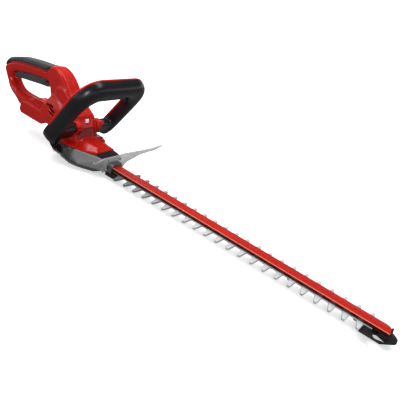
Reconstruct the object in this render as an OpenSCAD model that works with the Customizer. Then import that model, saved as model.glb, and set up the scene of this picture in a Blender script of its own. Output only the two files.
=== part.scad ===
// Hedge trimmer, cordless type without its battery. Millimetres, +Z up, +X toward the blade tip.
// Origin: bottom centre of the whole tool. Design frame inside the modules: X = 0 at the first near
// tooth, Z = 0 between the two blades; at0() carries it to the origin.

/* [Cutting bar] */
// distance between neighbouring teeth on one side
tooth_pitch = 25; // [22:0.5:28]
// teeth on each side
tooth_count = 22; // [16:1:24]
// reach of a tooth tip from the centre line
tooth_reach = 33.3; // [26:0.1:38]
// half width of a tooth at its tip
tooth_tip = 2.3; // [1.5:0.1:4]
// half width of a tooth at its root
tooth_root = 6.8; // [4:0.1:9]
// forward lean of the tooth tip
tooth_lean = 2.3; // [0:0.1:5]
// half width of the blade strip under the cover
strip_half = 9.5; // [7:0.1:10]
// thickness of one blade
blade_t = 2; // [1.5:0.1:3]
// half of the gap between the two blades
blade_gap = 0.15; // [0.1:0.05:0.3]
// travel of a blade each way from rest
blade_travel = 6; // [4:0.5:8]
// half width of the red bar cover
cover_half = 12; // [10:0.1:14]
// top of the bar cover above the blade plane
cover_top = 9.5; // [7:0.1:12]
// wall of the bar cover
cover_wall = 1.8; // [1:0.1:3]
// far end of the bar cover
cover_end = 571; // [500:1:600]
// first guide bolt
bolt_first = 22; // [10:1:60]
// distance between guide bolts
bolt_step = 124; // [80:1:150]
// radius of a guide bolt shank
bolt_r = 3; // [2:0.1:4]

/* [Tip protector] */
// half width of the tip protector
tip_half = 31; // [28:0.1:40]
// front end of the tip protector
tip_end = 587; // [570:1:600]
// rear end of the tip protector
tip_start = 528; // [500:1:550]
// radius of the wide end of the hanging hole
hang_r = 6.4; // [3:0.1:7]

/* [Front handle] */
// outer half width of the hoop
hoop_half = 96; // [85:1:105]
// top of the hoop along its own plane
hoop_top = 148; // [135:1:160]
// outer corner radius of the hoop
hoop_corner = 50; // [30:1:60]
// inner half width of the hoop
hoop_inner = 64; // [55:1:72]
// top of the opening along the hoop plane
hoop_inner_top = 108; // [95:1:115]
// depth of the hoop through its plane
hoop_depth = 29; // [22:1:40]
// depth of the red rear shell
hoop_back_depth = 6.5; // [4:0.5:10]
// forward tilt of the hoop
hoop_tilt = 32; // [20:1:45]

/* [Hand guard] */
// half width of the guard
guard_half = 105; // [90:1:120]
// thickness of the guard plate
guard_t = 2.6; // [2:0.1:4]

/* [Rear handle] */
// half width of the red handle frame
frame_half = 18; // [15:0.5:22]
// half width of the soft grip
grip_half = 19.2; // [16:0.1:23]
// half width of the battery foot
foot_half = 31; // [26:0.5:38]
// half width of the trigger
trigger_half = 9; // [7:0.5:11]

/* [Drive] */
// teeth of the motor pinion
pinion_teeth = 12; // [10:1:16]
// teeth of the drive gear
gear_teeth = 66; // [50:1:70]
// gear module
gear_module = 1; // [0.8:0.1:1.2]
// offset of the eccentrics
eccentric = 6; // [4:0.5:8]
// radius of an eccentric disc
eccentric_r = 10; // [8:0.5:12]
// radius of the motor can
motor_r = 18; // [15:0.5:21]

/* [Hidden] */
$fn = 48;
ox = -102.5;
oz = 18;
gear_x = -112;
axle_gap = gear_module * (gear_teeth + pinion_teeth) / 2;
motor_x = gear_x - axle_gap;
ring_in = eccentric + eccentric_r + blade_travel + 0.9;
ring_out = ring_in + 4.2;
blade_end = tooth_pitch * (tooth_count - 0.5) + 8;
bolts = [for (i = [0:4]) bolt_first + i * bolt_step];
hoop_o = [-145.5, 0, 61];
hoop_bot = -24;
eps = 0.05;

module at0() { translate([ox, 0, oz]) children(); }

// side profile in X,Z drawn through y from -h to h
module slab(pts, h) { translate([0, h, 0]) rotate([90, 0, 0]) linear_extrude(2 * h) polygon(pts); }
// front profile in Y,Z drawn from x0 to x1
module run(pts, x0, x1) { translate([x0, 0, 0]) rotate([90, 0, 90]) linear_extrude(x1 - x0) polygon(pts); }
// plan profile drawn from z0 to z1
module plan(pts, z0, z1) { translate([0, 0, z0]) linear_extrude(z1 - z0) polygon(pts); }
module box(a, b) { translate(a) cube([b[0] - a[0], b[1] - a[1], b[2] - a[2]]); }
module cyl_z(x, y, r, z0, z1) { translate([x, y, z0]) cylinder(r = r, h = z1 - z0); }
module cyl_y(x, z, r, y0, y1) { translate([x, y1, z]) rotate([90, 0, 0]) cylinder(r = r, h = y1 - y0); }
function both(p) = concat(p, [for (i = [len(p) - 1:-1:0]) [p[i][0], -p[i][1]]]);
module rod(p, q, r) {
    d = q - p; l = norm(d);
    translate(p) rotate([0, acos(d[2] / l), atan2(d[1], d[0])]) cylinder(r = r, h = l, $fn = 16);
}

// ------------------------------------------------------------ rear housing
grip_top = [[-382, 99], [-382, 107], [-376, 115], [-366, 122], [-338, 130.5], [-322, 133.5], [-290, 139], [-258, 143.5], [-243, 147], [-236, 149]];
open_pts = [[-359, 80], [-356, 90], [-350, 96], [-330, 101.5], [-298, 107.5], [-262, 111.5], [-240, 112], [-233, 106], [-227, 88], [-227, 70], [-238, 62], [-290, 58], [-332, 58], [-350, 68]];
frame_pts = [[-381, 97], [-379, 101], [-367, 111.5], [-348, 119], [-332, 123.5], [-299, 129], [-268, 133], [-243, 136.5], [-236, 149], [-228, 151], [-215, 149.5], [-202, 144], [-191, 136], [-180, 125], [-168, 110], [-156, 97], [-141, 86], [-129, 79], [-122, 58], [-116, 30], [-116, 22], [-180, 22], [-192, 31], [-212, 31], [-232, 21], [-300, 21], [-306, 24], [-321, 31], [-334, 42], [-352, 51], [-361, 60], [-368, 73], [-377, 88]];
core_pts = [[-374, 104], [-364, 117], [-338, 126], [-290, 134.5], [-245, 141], [-240, 130], [-268, 129.5], [-348, 112]];
deck_pts = both([[-190, -33], [-160, -42], [-132, -50], [-118, -50], [-92, -38.5], [-62.5, -25.5]]);
body_pts = [[-238, 58], [-238, 44], [-212, 31], [-192, 31], [-180, 22], [-118, 22], [-118, 34], [-124, 50], [-160, 70], [-190, 90], [-214, 98], [-226, 84]];
neck_pts = [[-117, 30], [-122, 58], [-128, 78], [-141, 85.5], [-156, 96.5], [-172, 113], [-205, 122], [-212, 90], [-205, 22], [-116, 22]];

module frame_chamfer() {
    run([[-34, -40], [34, -40], [34, 60], [22, 96], [20, 132], [11, 156], [-11, 156], [-20, 132], [-22, 96], [-34, 60]], -244, -110);
}
screw_at = [[-345, 56], [-222, 144], [-316, 46]];
module housing_outer() {
    difference() { intersection() { slab(frame_pts, frame_half); run([[-frame_half, 0], [frame_half, 0], [frame_half, 134], [10, 155], [-10, 155], [-frame_half, 134]], -400, -100); } slab(open_pts, 60); }
    slab(core_pts, 14.6);
    // hump and vent column
    intersection() {
        union() {
            slab(body_pts, 34);
            slab(neck_pts, 24);
            slab([[-226, 84], [-236, 112], [-241, 136], [-235.5, 148.6], [-228, 150.5], [-215, 149], [-202, 143.5], [-191, 135.5], [-180, 124.5], [-168, 109.5], [-160, 100], [-160, 70], [-214, 80]], 21);
        }
        frame_chamfer();
    }
    // faceted deck
    intersection() {
        plan(deck_pts, 22, 36);
        run([[-60, 20], [60, 20], [60, 24], [24, 31], [14, 34], [-14, 34], [-24, 31], [-60, 24]], -200, -60);
        slab([[-200, 20], [-200, 60], [-130, 60], [-62, 28.5], [-62, 20]], 60);
    }
    // battery foot
    intersection() {
        slab([[-304, 27], [-296, 21], [-232, 21], [-214, 31], [-208, 31], [-208, 50], [-282, 58], [-301, 50]], foot_half);
        run([[-foot_half, 20], [foot_half, 20], [foot_half, 48], [24, 62], [-24, 62], [-foot_half, 48]], -330, -200);
    }
    // side collars that carry the hoop arms
    for (s = [-1, 1]) {
        translate([-128, s * 28, 58]) rotate([90, 0, 0]) cylinder(r = 14, h = 12, center = true);
        translate([-117, s * 31, 66]) rotate([90, 0, 0]) cylinder(r = 4.8, h = 14, center = true);
    }
}
module vents() {
    for (s = [-1, 1], k = [0:3])
        translate([-223 + 8.2 * k, s * 30, 70 - 6 * k]) rotate([0, 22, 0]) cube([3.4, 16, 30], center = true);
}
module housing_inner() {
    // motor room
    cyl_z(motor_x, 0, motor_r + 0.8, 14, 79);
    cyl_z(motor_x, 0, 6, 70, 84);
    // gearbox roof
    plan(both([[-176, -24], [-150, -40], [-86, -32], [-76, -14]]), 14, 25);
    // column and hump room
    slab([[-219, 38], [-196, 38], [-180, 30], [-172, 30], [-172, 94], [-190, 116], [-206, 134], [-226, 134], [-228, 112], [-219, 96]], 15);
    slab([[-232, 42], [-200, 42], [-200, 74], [-219, 78]], 29.5);
    // handle channel for trigger and switch
    slab([[-366, 90], [-364, 104], [-345, 112], [-320, 117], [-290, 121], [-236, 128], [-222, 128], [-222, 98], [-240, 98], [-300, 92]], trigger_half + 1.2);
    // battery slot with inward rails, open to the rear and below
    box([-330, -24, 25], [-218, 24, 33]);
    box([-330, -20, 15], [-218, 20, 26]);
    box([-258, -16, 30], [-218, 16, 44]);
    // screw bores
    for (p = screw_at) { cyl_y(p[0], p[1], 1.8, -60, 60); cyl_y(p[0], p[1], 3.6, -60, -14); }
    // trigger pin
    cyl_y(-246, 112, 2.05, -16, 16);
    // badge recess and hoop arm seats
    translate([-126, 0, 70]) rotate([0, -15.5, 0]) cube([5, 18, 16], center = true);
    for (s = [-1, 1]) translate([-128, s * 43, 58]) rotate([90, 0, 0]) cylinder(r = 9.1, h = 26, center = true);
    for (s = [-1, 1]) cyl_z(-141, s * 38, 1.92, 12, 27.2);
    vents();
}
module housing() { difference() { housing_outer(); housing_inner(); } }
module housing_right() color([0.78, 0.07, 0.06]) at0() intersection() { housing(); box([-420, -120, -40], [-40, -0.05, 200]); }
module housing_left() color([0.78, 0.07, 0.06]) at0() intersection() { housing(); box([-420, 0.05, -40], [-40, 120, 200]); }
module rear_grip() color([0.07, 0.07, 0.08]) at0() difference() {
    intersection() {
        slab(concat(grip_top, [[-243.2, 136.8], [-268, 133.3], [-299, 129.3], [-332, 123.8], [-348, 119.3], [-367.1, 111.8], [-379.2, 101.4]]), grip_half);
        union() {
            run([[-grip_half, 90], [grip_half, 90], [grip_half, 118], [9, 140], [-9, 140], [-grip_half, 118]], -400, -330);
            run([[-grip_half, 90], [grip_half, 90], [grip_half, 131], [9, 152], [-9, 152], [-grip_half, 131]], -330.01, -230);
        }
    }
    slab([[-376, 90], [-374.4, 104.3], [-364.2, 117.3], [-338, 126.3], [-290, 134.8], [-244.5, 141.4], [-236, 141.4], [-236, 90]], 14.8);
}
module housing_screws() color([0.5, 0.5, 0.52]) at0() for (p = screw_at) {
    cyl_y(p[0], p[1], 3.4, -16.6, -14.1);
    cyl_y(p[0], p[1], 1.75, -14.2, 12);
}
module badge_plate() color([0.92, 0.92, 0.9]) at0() translate([-126, 0, 70]) rotate([0, -15.5, 0]) translate([-1.6, 0, 0]) cube([1.4, 9, 8], center = true);
module trigger() color([0.2, 0.2, 0.22]) at0() difference() {
    union() {
        slab([[-353, 86], [-356, 91], [-350, 98], [-300, 107], [-262, 112], [-252, 117], [-243, 117.5], [-239.5, 112], [-240, 104], [-246, 99.5], [-271, 96.5], [-302, 92], [-330, 87.5], [-346, 84.5]], trigger_half);
    }
    cyl_y(-246, 112, 2.3, -20, 20);
    box([-258, -4.4, 104], [-236, 4.4, 120]);
}
module trigger_pin() color([0.6, 0.6, 0.62]) at0() cyl_y(-246, 112, 2, -15.5, 15.5);
module trigger_spring() color([0.55, 0.55, 0.57]) at0() {
    for (k = [0:4]) translate([-246, -3.4 + k * 1.7, 112]) rotate([90, 0, 0]) rotate_extrude() translate([3.2, 0]) circle(r = 0.5, $fn = 16);
    translate([-242.5, 0, 113]) rotate([0, 14, 0]) cylinder(r = 0.5, h = 10, $fn = 16);
}
module rear_microswitch() color([0.12, 0.12, 0.14]) at0() {
    box([-226, -5, 104], [-208, 5, 119]);
    box([-231, -2, 108], [-226, 2, 111]);
    for (z = [107, 112, 117]) box([-208, -2, z - 0.4], [-203, 2, z + 0.4]);
}
module battery_terminals() color([0.1, 0.1, 0.11]) at0() {
    box([-242, -13, 34.5], [-220, 13, 43.5]);
    for (y = [-9, -3, 3, 9]) box([-256, y - 0.5, 35.5], [-241.9, y + 0.5, 41]);
}
module wiring() color([0.65, 0.08, 0.06]) at0() {
    for (s = [-1, 1]) {
        rod([-216, s * 5, 41], [-204, s * 4, 108], 1.3);
        rod([-200, s * 8.5, 104], [-177, s * 8.5, 81], 1.3);
    }
}

// ------------------------------------------------------------ motor and gearbox
module motor_can() color([0.62, 0.63, 0.65]) at0() difference() {
    union() { cyl_z(motor_x, 0, motor_r, 24, 76); cyl_z(motor_x, 0, 6, 21, 24.1); }
    cyl_z(motor_x, 0, motor_r - 1.4, 26, 74);
    cyl_z(motor_x, 0, 4, 15, 80);
}
module motor_magnets() color([0.25, 0.25, 0.27]) at0() for (s = [-1, 1]) intersection() {
    difference() { cyl_z(motor_x, 0, motor_r - 1.45, 34, 66); cyl_z(motor_x, 0, 12.4, 30, 70); }
    box([motor_x - 11, s > 0 ? 2 : -30, 30], [motor_x + 11, s > 0 ? 30 : -2, 70]);
}
module motor_bushings() color([0.72, 0.58, 0.32]) at0() for (z = [21, 74]) difference() {
    cyl_z(motor_x, 0, 3.95, z, z + 3);
    cyl_z(motor_x, 0, 1.9, z - 1, z + 5);
}
module motor_rotor() color([0.45, 0.46, 0.48]) at0() difference() {
    union() {
        cyl_z(motor_x, 0, 1.6, 3, 78);
        cyl_z(motor_x, 0, 11.8, 36, 62);
        cyl_z(motor_x, 0, 5, 62, 70);
    }
    for (k = [0:4]) rotate_about(motor_x, 72 * k) box([9, -1.2, 30], [14, 1.2, 61]);
}
module rotate_about(x, a) { translate([x, 0, 0]) rotate([0, 0, a]) children(); }
function gear_pts(n, m, phase) = let (rp = n * m / 2, a = 360 / n) [for (k = [0:n - 1], j = [0:3])
    let (t = phase + k * a, ro = rp + 0.8 * m, ri = rp - 1.15 * m,
         hw = [2.1, 0.72, 0.72, 2.1][j] * m / 2, r = [ri, ro, ro, ri][j], s = [-1, -1, 1, 1][j], b = asin(hw / r))
    [r * cos(t + s * b), r * sin(t + s * b)]];
module motor_pinion() color([0.6, 0.6, 0.63]) at0() translate([motor_x, 0, 5]) difference() {
    linear_extrude(9.4) polygon(gear_pts(pinion_teeth, gear_module, 180 / pinion_teeth));
    translate([0, 0, -1]) cylinder(r = 1.62, h = 20);
}
module drive_gear() color([0.52, 0.53, 0.55]) at0() translate([gear_x, 0, 0]) {
    difference() {
        translate([0, 0, 6.5]) linear_extrude(7) polygon(gear_pts(gear_teeth, gear_module, 0));
        for (k = [0:5]) rotate([0, 0, 60 * k + 30]) translate([21, 0, 0]) cylinder(r = 5, h = 20);
    }
    translate([0, 0, 5.2]) cylinder(r = 13, h = 1.4);
    translate([eccentric, 0, 0.1]) cylinder(r = eccentric_r, h = 5.2);
    translate([-eccentric, 0, -5.2]) cylinder(r = eccentric_r, h = 5.35);
    translate([0, 0, -8.5]) cylinder(r = 4, h = 27);
}
module gear_bearings() color([0.7, 0.7, 0.72]) at0() {
    for (z = [[-9, -6], [15, 19]]) difference() {
        cyl_z(gear_x, 0, 8, z[0], z[1]);
        cyl_z(gear_x, 0, 4.3, z[0] - 1, z[1] + 1);
    }
}
module gearbox_plan(g) {
    translate([gear_x, 0]) circle(r = gear_teeth * gear_module / 2 + 1.8 + g);
    translate([motor_x, 0]) circle(r = 9.5 + g);
    translate([motor_x, -8 - g]) square([axle_gap, 16 + 2 * g]);
}
module gear_housing() color([0.6, 0.61, 0.63]) at0() difference() {
    union() {
        translate([0, 0, -6]) linear_extrude(25) gearbox_plan(2.6);
        box([-82, -16, -6], [-40, 16, 15]);
    }
    translate([0, 0, -7]) linear_extrude(22) gearbox_plan(0);
    box([-90, -13.2, -7], [-30, 13.2, 9.7]);
    cyl_z(gear_x, 0, 8.02, 10, 25);
    cyl_z(motor_x, 0, 6.3, 10, 25);
    for (a = [45, 135, 225, 315]) translate([gear_x + 36 * cos(a), 36 * sin(a), -8]) cylinder(r = 1.25, h = 10);
    for (y = [-8, 8]) cyl_z(-52, y, 1.5, 5, 20);
}
module gearbox_lid() color([0.55, 0.56, 0.58]) at0() difference() {
    union() {
        translate([0, 0, -9]) linear_extrude(2.9) gearbox_plan(2.6);
        for (a = [45, 135, 225, 315]) translate([gear_x + 36 * cos(a), 36 * sin(a), -9]) cylinder(r = 3.5, h = 2.9);
    }
    cyl_z(gear_x, 0, 8.02, -12, 0);
    for (a = [45, 135, 225, 315]) translate([gear_x + 36 * cos(a), 36 * sin(a), -12]) cylinder(r = 1.6, h = 10);
}
module gearbox_screws() color([0.45, 0.45, 0.47]) at0() for (a = [45, 135, 225, 315]) translate([gear_x + 36 * cos(a), 36 * sin(a), -11]) {
    cylinder(r = 2.9, h = 1.95);
    cylinder(r = 1.2, h = 11);
}

// ------------------------------------------------------------ lower cover and nose
module lower_cover() color([0.16, 0.16, 0.17]) at0() { lower_shell(); for (s = [-1, 1]) difference() { cyl_z(-141, s * 38, 5.5, -12, 21.7); cyl_z(-141, s * 38, 2, -30, 30); } }
module lower_shell() difference() {
    union() {
        hull() {
            plan(both([[-184, -32], [-160, -42.3], [-132, -50.3], [-118, -50.3], [-92, -39], [-62, -26], [-42, -22]]), 17, 21.7);
            plan(both([[-176, -31.5], [-148, -48.5], [-114, -55], [-90, -50], [-64, -34], [-44, -22.5]]), -4, -1.5);
            plan(both([[-160, -27], [-146, -37], [-118, -42], [-98, -37], [-68, -21]]), -18, -15);
        }
        for (s = [-1, 1]) hull() {
            box([-166, s > 0 ? 36 : -44, -10], [-108, s > 0 ? 44 : -36, 19]);
            translate(hoop_o) rotate([0, hoop_tilt, 0]) box([1, s > 0 ? 64 : -82, -30], [28, s > 0 ? 82 : -64, hoop_bot - 0.4]);
        }
    }
    // hoop legs and arms
    for (s = [-1, 1]) hoop_frame() box([-6, s > 0 ? 34.1 : -120, hoop_bot - 0.3], [44, s > 0 ? 120 : -34.1, 60]);
    // gearbox room
    translate([0, 0, -11.6]) linear_extrude(40) gearbox_plan(3.1);
    for (a = [45, 135, 225, 315]) translate([gear_x + 36 * cos(a), 36 * sin(a), -11.6]) cylinder(r = 4.2, h = 10);
    box([-90, -16.5, -9.6], [-30, 16.5, 30]);
    // space under the deck and the housing
    plan(both([[-176, -27], [-160, -37], [-132, -45], [-118, -45], [-92, -34], [-78, -26]]), -8, 30);
    box([-200, -60, 21.85], [-100, 60, 25]);
    slab([[-200, 21.85], [-200, 40], [-186, 31.5], [-176, 21.85]], 40);
    for (s = [-1, 1]) cyl_z(-141, s * 38, 3.6, -30, -12.4);
    for (s = [-1, 1]) cyl_z(-141, s * 38, 2, -30, 30);
    for (s = [-1, 1]) intersection() {
        slab(body_pts, 60);
        box([-240, s > 0 ? 0 : -60, 21.85], [-100, s > 0 ? 60 : 0, 80]);
    }
}
module lower_cover_screws() color([0.45, 0.45, 0.47]) at0() for (s = [-1, 1]) {
    cyl_z(-141, s * 38, 3.4, -15.4, -12.45);
    cyl_z(-141, s * 38, 1.9, -12.5, 27);
}
module nose_cover() color([0.05, 0.05, 0.06]) at0() difference() {
    intersection() {
        plan(both([[-62, -25.3], [-41.7, -22]]), 9, 30);
        slab([[-62, 22], [-62, 28.3], [-41.7, 25.6], [-41.7, 9], [-58, 9]], 30);
        run([[-26, 8], [26, 8], [26, 23], [21, 30], [-21, 30], [-26, 23]], -64, -40);
    }
    box([-90, -16.4, 0], [-30, 16.4, 15.3]);
    hull() {
        plan(both([[-62.3, -26.3], [-41.4, -22.3]]), 17, 22);
        plan(both([[-66, -29.3], [-41.4, -21.3]]), -11, -9);
    }
}
module blade_clamp() color([0.06, 0.06, 0.07]) at0() difference() {
    box([-39.7, -15.8, -12], [-12, 15.8, -3]);
    translate([-12, 0, -12]) rotate([0, 45, 0]) cube([6, 40, 6], center = true);
}

module bar_bracket() color([0.7, 0.71, 0.73]) at0() difference() {
    run([[-16, -2.9], [-12.3, -2.9], [-12.3, cover_top + 0.1], [12.3, cover_top + 0.1], [12.3, -2.9], [16, -2.9], [16, 12], [12, 17], [-12, 17], [-16, 12]], -36.8, -25);
    for (y = [-8, 8]) translate([-40, y, 13.6]) rotate([0, 90, 0]) cylinder(r = 1.5, h = 20);
    box([-36.9, -21.6, 16.4], [-34.8, -14.4, 23.6]);
    box([-36.9, 14.4, 16.4], [-34.8, 21.6, 23.6]);
}

// ------------------------------------------------------------ hand guard
function guard_path(k) = [[-39.9 + k, 0], [-39.9 + k, 22], [-36 + k, 34], [-20 + k, 62], [-9 + k, 86], [0 + k, guard_half]];
module hand_guard() color([0.5, 0.52, 0.55, 0.45]) at0() difference() {
    intersection() {
        plan(concat(both_x(guard_path(0)), rev(both_x(guard_path(guard_t)))), -6, 60);
        run([[0, 27.5], [22, 28], [34, 31.5], [60, 39.5], [90, 48.5], [guard_half + 1, 56], [guard_half + 1, 52.5], [90, 41.5], [62, 31], [46, 17.5], [40, 13], [35, 6], [31, -2], [17, -4], [17, 10.5], [-17, 10.5], [-17, -4], [-31, -2], [-35, 6], [-40, 13], [-46, 17.5], [-62, 31], [-90, 41.5], [-guard_half - 1, 52.5], [-guard_half - 1, 56], [-90, 48.5], [-60, 39.5], [-34, 31.5], [-22, 28]], -60, 20);
    }
    for (y = [-18, 18]) translate([-45, y, 20]) rotate([0, 90, 0]) cylinder(r = 1.8, h = 20);
}
function both_x(p) = concat([for (i = [len(p) - 1:-1:1]) [p[i][0], -p[i][1]]], p);
function rev(p) = [for (i = [len(p) - 1:-1:0]) p[i]];
module guard_screws() color([0.75, 0.75, 0.77]) at0() for (y = [-18, 18]) translate([-37.2, y, 20]) rotate([0, 90, 0]) {
    cylinder(r = 3.2, h = 2);
    translate([0, 0, -4.4]) cylinder(r = 1.6, h = 4.5);
}

// ------------------------------------------------------------ front handle
function hoop_pts(w, top, r, bot, n = 10, k = 0) = concat([[-w + k, bot], [-w, bot + 2.4 * k]],
    [for (i = [0:n]) [-w + r - r * cos(90 * i / n), top - r + r * sin(90 * i / n)]],
    [for (i = [n:-1:0]) [w - r + r * cos(90 * i / n), top - r + r * sin(90 * i / n)]], [[w, bot + 2.4 * k], [w - k, bot]]);
module hoop_frame() { translate(hoop_o) rotate([0, hoop_tilt, 0]) children(); }
module hoop_ring(g, c, x0, x1) {
    difference() {
        run(hoop_pts(hoop_half - g, hoop_top - g, hoop_corner - g / 2, hoop_bot, 12, 15), x0, x1);
        run(hoop_pts(hoop_inner - c, hoop_inner_top - c, 42 - c, -60, 10), x0 - 1, x1 + 1);
    }
}
hoop_screw_at = [[-71, 30], [71, 30], [-62, 126], [62, 126]];
module hoop_front() color([0.05, 0.05, 0.06]) at0() hoop_frame() difference() {
    union() {
        hoop_ring(0, 0, hoop_back_depth, 23);
        hoop_ring(4.5, -4.5, 22.9, hoop_depth);
        // arms to the body collars
        for (s = [-1, 1]) {
            box([hoop_back_depth, s > 0 ? 34.4 : -66, -20], [26, s > 0 ? 66 : -34.4, 14]);
            translate([16.43, s * 43.5, 6.73]) rotate([90, 0, 0]) cylinder(r = 9, h = 24, center = true);
        }
    }
    // room for the switch bar and its wires
    box([5, -41, 96], [21, 41, 118.5]);
    box([5, -14, 112], [18, 14, 141]);
    box([5, -48, 122], [18, 48, 141]);
    for (s = [-1, 1]) box([5, s > 0 ? 76 : -91, -8], [19, s > 0 ? 91 : -76, 100]);
    for (p = hoop_screw_at) translate([4, p[0], p[1]]) rotate([0, 90, 0]) cylinder(r = 1.5, h = 16);
}
module hoop_back() color([0.78, 0.07, 0.06]) at0() hoop_frame() difference() {
    union() {
        hoop_ring(0, 0, 2.5, hoop_back_depth - 0.1);
        hoop_ring(3.5, -3.5, 0, 2.6);
    }
    box([-2, -41, 96], [8.2, 41, 112.5]);
    for (p = hoop_screw_at) translate([-2, p[0], p[1]]) rotate([0, 90, 0]) { cylinder(r = 1.7, h = 16); cylinder(r = 3.4, h = 4.6); }
}
module hoop_screws() color([0.5, 0.5, 0.52]) at0() hoop_frame() for (p = hoop_screw_at) translate([0.4, p[0], p[1]]) rotate([0, 90, 0]) {
    cylinder(r = 3.2, h = 2.1);
    cylinder(r = 1.45, h = 18);
}
module front_switch_bar() color([0.12, 0.12, 0.13]) at0() hoop_frame() difference() {
    union() {
        run([[-39.5, 104], [-36, 101], [36, 101], [39.5, 104], [39.5, 110], [-39.5, 110]], 7.5, 20);
        box([8.5, -12.5, 109], [17, 12.5, 113.5]);
    }
    for (s = [-1, 1]) translate([13.5, s * 27, 105]) cylinder(r = 3.4, h = 10);
}
module front_bar_springs() color([0.6, 0.6, 0.62]) at0() hoop_frame() for (s = [-1, 1], k = [0:5])
    translate([13.5, s * 27, 105.7 + 2.4 * k]) rotate_extrude() translate([2.3, 0]) circle(r = 0.5, $fn = 16);
module front_microswitch() color([0.12, 0.12, 0.14]) at0() hoop_frame() {
    box([7.5, -9, 124], [16.5, 9, 135]);
    box([10.5, -2, 118.4], [13.5, 2, 124.1]);
}

// ------------------------------------------------------------ blades
function teeth(side, first) = [for (i = [0:tooth_count - 1], j = [0:3])
    let (x = first + i * tooth_pitch, l = side * tooth_reach, h = side * strip_half)
    [[x - tooth_root, h], [x + tooth_lean - tooth_tip - 1.2, l], [x + tooth_lean + tooth_tip - 1.2, l], [x + tooth_root, h]][j]];
module blade_2d() difference() {
    union() {
        polygon(concat([[-80, -strip_half]], teeth(-1, 0), [[blade_end, -strip_half], [blade_end, strip_half]], rev(teeth(1, tooth_pitch / 2)), [[-80, strip_half]]));
        translate([gear_x, 0]) circle(r = ring_out, $fn = 96);
        translate([gear_x + ring_in + 1, -strip_half]) square([40, 2 * strip_half]);
    }
    translate([gear_x, 0]) circle(r = ring_in, $fn = 96);
    for (x = bolts) { for (s = [-1, 1]) translate([x + s * (blade_travel + 0.3), 0]) circle(r = bolt_r + 0.35); translate([x - blade_travel - 0.3, -bolt_r - 0.35]) square([2 * blade_travel + 0.6, 2 * bolt_r + 0.7]); }
}
module upper_blade() color([0.62, 0.63, 0.65]) at0() translate([0, 0, blade_gap]) linear_extrude(blade_t) blade_2d();
module lower_blade() color([0.55, 0.56, 0.58]) at0() translate([0, 0, -blade_gap - blade_t]) linear_extrude(blade_t) blade_2d();
module blade_cover() color([0.78, 0.07, 0.06]) at0() difference() {
    union() {
        difference() {
            run([[-cover_half, 2.5], [cover_half, 2.5], [cover_half, cover_top - 1.1], [cover_half - 1, cover_top], [-cover_half + 1, cover_top], [-cover_half, cover_top - 1.1]], -60, cover_end);
            run([[-cover_half + cover_wall, 1], [cover_half - cover_wall, 1], [cover_half - cover_wall, cover_top - cover_wall], [-cover_half + cover_wall, cover_top - cover_wall]], -61, cover_end - 3);
        }
        for (x = bolts) cyl_z(x, 0, 6.5, 2.5, cover_top - 1);
        cyl_z(cover_end - 7, 0, 5, 2.5, cover_top - 1);
    }
    for (x = bolts) cyl_z(x, 0, bolt_r + 0.02, 0, cover_top - 1.7);
    cyl_z(cover_end - 7, 0, 2.02, 0, cover_top - 1.7);
    for (y = [-8, 8]) cyl_z(-52, y, 1.6, 0, 20);
    translate([cover_end, cover_half, 0]) rotate([0, 0, 45]) cube([9, 9, 40], center = true);
}
module guide_bolts() color([0.4, 0.41, 0.43]) at0() for (x = bolts) {
    cyl_z(x, 0, bolt_r, -5, cover_top - 1.8);
    translate([x, 0, -7.6]) cylinder(r = 5.6, h = 3, $fn = 6);
}
module guide_washers() color([0.66, 0.67, 0.69]) at0() for (x = bolts) difference() {
    cyl_z(x, 0, 8, -4.55, -2.6);
    cyl_z(x, 0, bolt_r + 0.03, -6, 0);
}

// ------------------------------------------------------------ tip protector
module tip_protector() color([0.05, 0.05, 0.06]) at0() difference() {
    union() {
        intersection() {
            plan(both([[tip_start, -tip_half + 3], [tip_start + 2.5, -tip_half], [tip_start + 35, -tip_half], [tip_end - 2, -9], [tip_end, -5]]), -5.3, -2.9);
            run([[-tip_half - 1, -3.9], [-tip_half + 1.4, -5.4], [tip_half - 1.4, -5.4], [tip_half + 1, -3.9], [tip_half + 1, 3], [-tip_half - 1, 3]], 500, 600);
        }
        cyl_z(cover_end - 7, 0, 8, -8.4, -5.2);
        // raised rim behind the blade ends
        intersection() {
            plan(both([[556, -20], [562, -22], [574, -12], [574.6, 0]]), -3, 2.3);
            plan(both([[blade_end + blade_travel + 1.5, -30], [600, -30]]), -3, 2.3);
        }
        box([571.6, -8, -3], [574.6, 12.6, 8]);
    }
    // hanging hole
    cyl_z(tip_start + 28, -19.5, hang_r, -10, 10);
    cyl_z(tip_start + 41, -19.5, 1.8, -10, 10);
    plan([[tip_start + 28.6, -19.5 - hang_r + 0.05], [tip_start + 28.6, -19.5 + hang_r - 0.05], [tip_start + 41.2, -17.72], [tip_start + 41.2, -21.28]], -10, 10);
    cyl_z(cover_end - 7, 0, 2.1, -10, 10);
    cyl_z(cover_end - 7, 0, 4.2, -10, -5.6);
}
module tip_screw() color([0.5, 0.5, 0.52]) at0() {
    cyl_z(cover_end - 7, 0, 2, -5.7, cover_top - 1.8);
    cyl_z(cover_end - 7, 0, 4, -7.8, -5.65);
}

housing_right();
housing_left();
rear_grip();
housing_screws();
badge_plate();
trigger();
trigger_pin();
trigger_spring();
rear_microswitch();
battery_terminals();
wiring();
motor_can();
motor_magnets();
motor_bushings();
motor_rotor();
motor_pinion();
gear_housing();
gearbox_lid();
gearbox_screws();
drive_gear();
gear_bearings();
lower_cover();
lower_cover_screws();
nose_cover();
blade_clamp();
bar_bracket();
hand_guard();
guard_screws();
hoop_front();
hoop_back();
hoop_screws();
front_switch_bar();
front_bar_springs();
front_microswitch();
upper_blade();
lower_blade();
blade_cover();
guide_bolts();
guide_washers();
tip_protector();
tip_screw();
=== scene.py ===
import math
import bpy
import bmesh
import numpy as np
from mathutils import Matrix, Vector


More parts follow.
